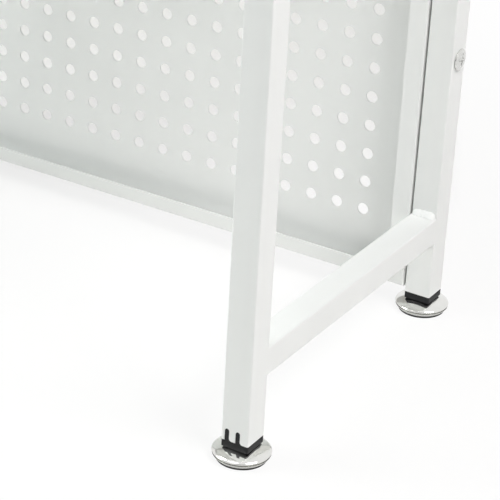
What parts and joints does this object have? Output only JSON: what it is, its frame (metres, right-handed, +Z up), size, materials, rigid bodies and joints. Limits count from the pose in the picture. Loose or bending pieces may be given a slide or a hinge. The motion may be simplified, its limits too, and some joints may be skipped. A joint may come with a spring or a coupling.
{
  "type": "desktop hutch",
  "caption": "Desktop hutch of white steel: welded square-tube side frames, perforated boxed back panel, folded shelves and chromed screw-adjusted levelling feet.",
  "frame": {"origin": "on the desk, under the middle of the hutch", "axes": "+X to the right of someone facing the hutch, +Y to the back, +Z up"},
  "size_m": [0.613, 0.299, 0.66],
  "materials": {
    "white_coat": "satin",
    "zinc": "satin",
    "chrome": "polished",
    "black_plastic": "matte",
    "pad_rubber": "matte"
  },
  "bodies": {
    "frame": {"leg_front_left": "white_coat", "leg_front_right": "white_coat", "leg_rear_left": "white_coat", "leg_rear_right": "white_coat", "rail_bottom_left": "white_coat", "rail_bottom_right": "white_coat", "rail_top_left": "white_coat", "rail_top_right": "white_coat", "weld_beads": "white_coat", "panel_sheet": "white_coat", "panel_rim_bottom": "white_coat", "panel_rim_top": "white_coat", "panel_rim_left": "white_coat", "panel_rim_right": "white_coat", "shelf_middle": "white_coat", "shelf_top": "white_coat", "panel_side_bolts": "zinc", "panel_side_nuts": "zinc", "panel_top_bolts": "zinc", "panel_top_nuts": "zinc", "shelf_middle_bolts": "zinc", "shelf_middle_nuts": "zinc", "shelf_top_bolts": "zinc", "shelf_top_nuts": "zinc", "cap_front_left": "black_plastic", "plug_front_left": "black_plastic", "bush_front_left": "zinc", "cap_front_right": "black_plastic", "plug_front_right": "black_plastic", "bush_front_right": "zinc", "cap_rear_left": "black_plastic", "plug_rear_left": "black_plastic", "bush_rear_left": "zinc", "cap_rear_right": "black_plastic", "plug_rear_right": "black_plastic", "bush_rear_right": "zinc"},
    "foot_pad_front_left": {"pad_front_left": "pad_rubber"},
    "foot_screw_front_left": {"dome_front_left": "chrome", "stem_front_left": "zinc"},
    "foot_pad_front_right": {"pad_front_right": "pad_rubber"},
    "foot_screw_front_right": {"dome_front_right": "chrome", "stem_front_right": "zinc"},
    "foot_pad_rear_left": {"pad_rear_left": "pad_rubber"},
    "foot_screw_rear_left": {"dome_rear_left": "chrome", "stem_rear_left": "zinc"},
    "foot_pad_rear_right": {"pad_rear_right": "pad_rubber"},
    "foot_screw_rear_right": {"dome_rear_right": "chrome", "stem_rear_right": "zinc"}
  },
  "joints": [
    {"name": "foot_travel_front_left", "type": "slide", "parent": "frame", "child": "foot_pad_front_left", "axis": [0, 0, -1], "range_m": [0, 0.01]},
    {"name": "foot_turn_front_left", "type": "hinge", "parent": "foot_pad_front_left", "child": "foot_screw_front_left", "pos_m": [-0.2865, -0.1295, 0], "axis": [0, 0, -1], "range_deg": [0, 2880]},
    {"name": "foot_travel_front_right", "type": "slide", "parent": "frame", "child": "foot_pad_front_right", "axis": [0, 0, -1], "range_m": [0, 0.01]},
    {"name": "foot_turn_front_right", "type": "hinge", "parent": "foot_pad_front_right", "child": "foot_screw_front_right", "pos_m": [0.2865, -0.1295, 0], "axis": [0, 0, -1], "range_deg": [0, 2880]},
    {"name": "foot_travel_rear_left", "type": "slide", "parent": "frame", "child": "foot_pad_rear_left", "axis": [0, 0, -1], "range_m": [0, 0.01]},
    {"name": "foot_turn_rear_left", "type": "hinge", "parent": "foot_pad_rear_left", "child": "foot_screw_rear_left", "pos_m": [-0.2865, 0.1295, 0], "axis": [0, 0, -1], "range_deg": [0, 2880]},
    {"name": "foot_travel_rear_right", "type": "slide", "parent": "frame", "child": "foot_pad_rear_right", "axis": [0, 0, -1], "range_m": [0, 0.01]},
    {"name": "foot_turn_rear_right", "type": "hinge", "parent": "foot_pad_rear_right", "child": "foot_screw_rear_right", "pos_m": [0.2865, 0.1295, 0], "axis": [0, 0, -1], "range_deg": [0, 2880]}
  ],
  "couplings": [
    {"joint": "foot_travel_front_left", "follows": "foot_turn_front_left", "m_per_rad": 0.00019894},
    {"joint": "foot_travel_front_right", "follows": "foot_turn_front_right", "m_per_rad": 0.00019894},
    {"joint": "foot_travel_rear_left", "follows": "foot_turn_rear_left", "m_per_rad": 0.00019894},
    {"joint": "foot_travel_rear_right", "follows": "foot_turn_rear_right", "m_per_rad": 0.00019894}
  ]
}
